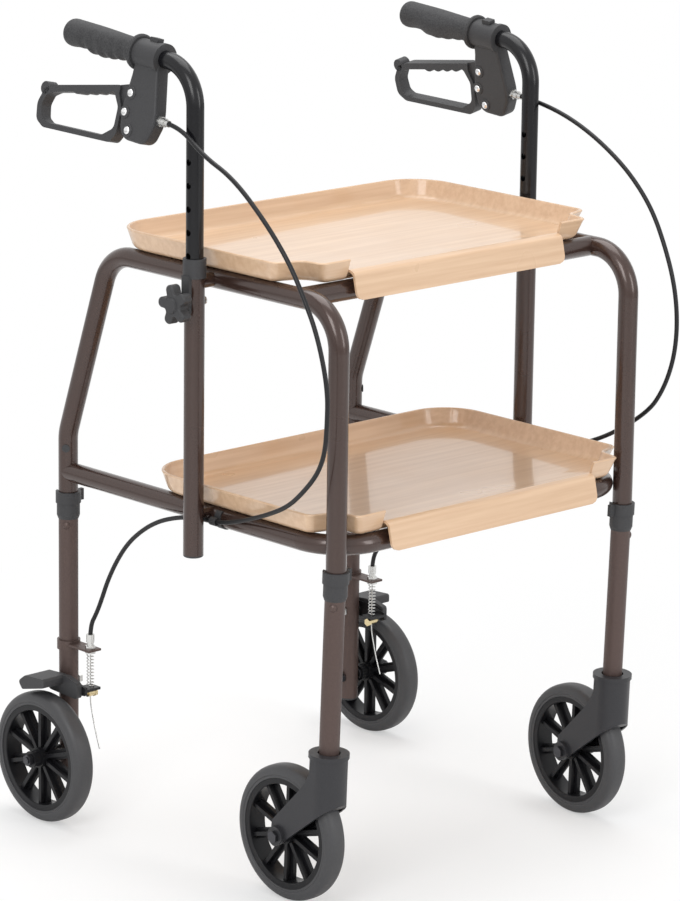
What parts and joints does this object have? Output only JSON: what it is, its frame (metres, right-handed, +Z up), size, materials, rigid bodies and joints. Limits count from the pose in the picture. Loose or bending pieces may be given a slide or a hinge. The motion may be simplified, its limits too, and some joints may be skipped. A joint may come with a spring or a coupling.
{
  "type": "indoor walker with tray",
  "caption": "Indoor walker: bent-tube frame with height-adjustable handles, loop-lever hand brakes, swivel front wheels, braked rear wheels and lift-off trays.",
  "frame": {"origin": "on the floor under the middle of the walker", "axes": "+Z up, -Y to the front where the swivelling wheels are, +Y to the user, -X to the user's right"},
  "size_m": [0.571, 0.549, 0.9185],
  "materials": {
    "brown_steel": "dark brown gloss powder coat",
    "black_steel": "black gloss coat",
    "black_plastic": "fine-grained moulding",
    "black_rubber": "soft ribbed grip",
    "wheel_plastic": "satin moulding",
    "tyre": "dark grey ribbed tread",
    "zinc": "bright zinc",
    "cable": "smooth cable jacket",
    "tray": "wood-coloured gloss moulding with a fine grain"
  },
  "bodies": {
    "frame": {"side_frame_right": "brown_steel", "side_frame_left": "brown_steel", "lower_frame": "brown_steel", "upper_cross_tube": "brown_steel", "handle_post_right": "brown_steel", "handle_post_left": "brown_steel", "post_spacers": "brown_steel", "post_collars": "black_plastic", "front_legs": "brown_steel", "rear_legs": "brown_steel", "leg_collars": "black_plastic", "leg_clips": "black_plastic", "snap_buttons": "zinc", "tube_inserts": "black_plastic", "brake_tabs": "zinc", "cable_clips": "black_plastic", "brake_pivots": "zinc", "rear_axles": "zinc", "lower_adjusters": "zinc", "knob_bolts": "zinc", "brake_cable_right": "cable", "brake_cable_left": "cable", "brake_wire_right": "zinc", "brake_wire_left": "zinc", "brake_spring_right": "zinc", "brake_spring_left": "zinc"},
    "upper_tray": {"upper_tray": "tray"},
    "lower_tray": {"lower_tray": "tray"},
    "caster_right": {"caster_fork_right": "black_plastic", "caster_bolts_right": "zinc"},
    "caster_wheel_right": {"caster_hub_right": "wheel_plastic", "caster_tyre_right": "tyre"},
    "rear_wheel_right": {"rear_hub_right": "wheel_plastic", "rear_tyre_right": "tyre"},
    "handle_right": {"handle_tube_right": "black_steel", "grip_right": "black_rubber", "brake_housing_right": "black_plastic", "housing_rivets_right": "zinc", "cable_adjuster_right": "zinc"},
    "lever_right": {"brake_lever_right": "black_plastic"},
    "knob_right": {"star_knob_right": "black_plastic"},
    "brake_right": {"brake_shoe_right": "black_plastic", "brake_arm_right": "zinc", "pinch_bolt_right": "zinc"},
    "caster_left": {"caster_fork_left": "black_plastic", "caster_bolts_left": "zinc"},
    "caster_wheel_left": {"caster_hub_left": "wheel_plastic", "caster_tyre_left": "tyre"},
    "rear_wheel_left": {"rear_hub_left": "wheel_plastic", "rear_tyre_left": "tyre"},
    "handle_left": {"handle_tube_left": "black_steel", "grip_left": "black_rubber", "brake_housing_left": "black_plastic", "housing_rivets_left": "zinc", "cable_adjuster_left": "zinc"},
    "lever_left": {"brake_lever_left": "black_plastic"},
    "knob_left": {"star_knob_left": "black_plastic"},
    "brake_left": {"brake_shoe_left": "black_plastic", "brake_arm_left": "zinc", "pinch_bolt_left": "zinc"}
  },
  "joints": [
    {"name": "upper_tray_lift", "type": "slide", "parent": "frame", "child": "upper_tray", "axis": [0, 0, 1], "range_m": [0, 0.06]},
    {"name": "lower_tray_lift", "type": "slide", "parent": "frame", "child": "lower_tray", "axis": [0, 0, 1], "range_m": [0, 0.06]},
    {"name": "caster_swivel_right", "type": "hinge", "parent": "frame", "child": "caster_right", "pos_m": [-0.2183, -0.23692, 0.35], "axis": [0, -0.0349, 0.9994], "continuous": true},
    {"name": "caster_wheel_spin_right", "type": "hinge", "parent": "caster_right", "child": "caster_wheel_right", "pos_m": [-0.2183, -0.17368, 0.075], "axis": [1, 0, 0], "continuous": true},
    {"name": "rear_wheel_spin_right", "type": "hinge", "parent": "frame", "child": "rear_wheel_right", "pos_m": [-0.2538, 0.2, 0.075], "axis": [1, 0, 0], "continuous": true},
    {"name": "handle_slide_right", "type": "slide", "parent": "frame", "child": "handle_right", "axis": [0, 0, 1], "range_m": [-0.15, 0.05], "deforming": ["brake_cable_right"]},
    {"name": "lever_right", "type": "hinge", "parent": "handle_right", "child": "lever_right", "pos_m": [-0.25994, 0.03353, 0.85208], "axis": [0.9781, 0.016, -0.2073], "range_deg": [0, 16], "stiffness_Nm_per_rad": 2, "springref_deg": -5.73},
    {"name": "brake_arm_right", "type": "hinge", "parent": "frame", "child": "brake_right", "pos_m": [-0.2183, 0.2, 0.158], "axis": [-1, 0, 0], "range_deg": [0, 9], "deforming": ["brake_spring_right", "brake_wire_right"]},
    {"name": "knob_right", "type": "hinge", "parent": "frame", "child": "knob_right", "pos_m": [-0.2641, -0.049, 0.64], "axis": [-1, 0, 0], "continuous": true},
    {"name": "caster_swivel_left", "type": "hinge", "parent": "frame", "child": "caster_left", "pos_m": [0.2183, -0.23692, 0.35], "axis": [0, -0.0349, 0.9994], "continuous": true},
    {"name": "caster_wheel_spin_left", "type": "hinge", "parent": "caster_left", "child": "caster_wheel_left", "pos_m": [0.22297, -0.17389, 0.07499], "axis": [0.9962, -0.0871, -0.003], "continuous": true},
    {"name": "rear_wheel_spin_left", "type": "hinge", "parent": "frame", "child": "rear_wheel_left", "pos_m": [0.2538, 0.2, 0.075], "axis": [1, 0, 0], "continuous": true},
    {"name": "handle_slide_left", "type": "slide", "parent": "frame", "child": "handle_left", "axis": [0, 0, 1], "range_m": [-0.125, 0.075], "deforming": ["brake_cable_left"]},
    {"name": "lever_left", "type": "hinge", "parent": "handle_left", "child": "lever_left", "pos_m": [0.25994, 0.03353, 0.82708], "axis": [0.9781, -0.016, 0.2073], "range_deg": [0, 16], "stiffness_Nm_per_rad": 2, "springref_deg": -5.73},
    {"name": "brake_arm_left", "type": "hinge", "parent": "frame", "child": "brake_left", "pos_m": [0.2183, 0.2, 0.158], "axis": [-1, 0, 0], "range_deg": [0, 9], "deforming": ["brake_spring_left", "brake_wire_left"]},
    {"name": "knob_left", "type": "hinge", "parent": "frame", "child": "knob_left", "pos_m": [0.2641, -0.049, 0.64], "axis": [1, 0, 0], "continuous": true}
  ],
  "couplings": [
    {"joint": "brake_arm_right", "follows": "lever_right", "ratio": 0.55},
    {"joint": "brake_arm_left", "follows": "lever_left", "ratio": 0.55}
  ]
}
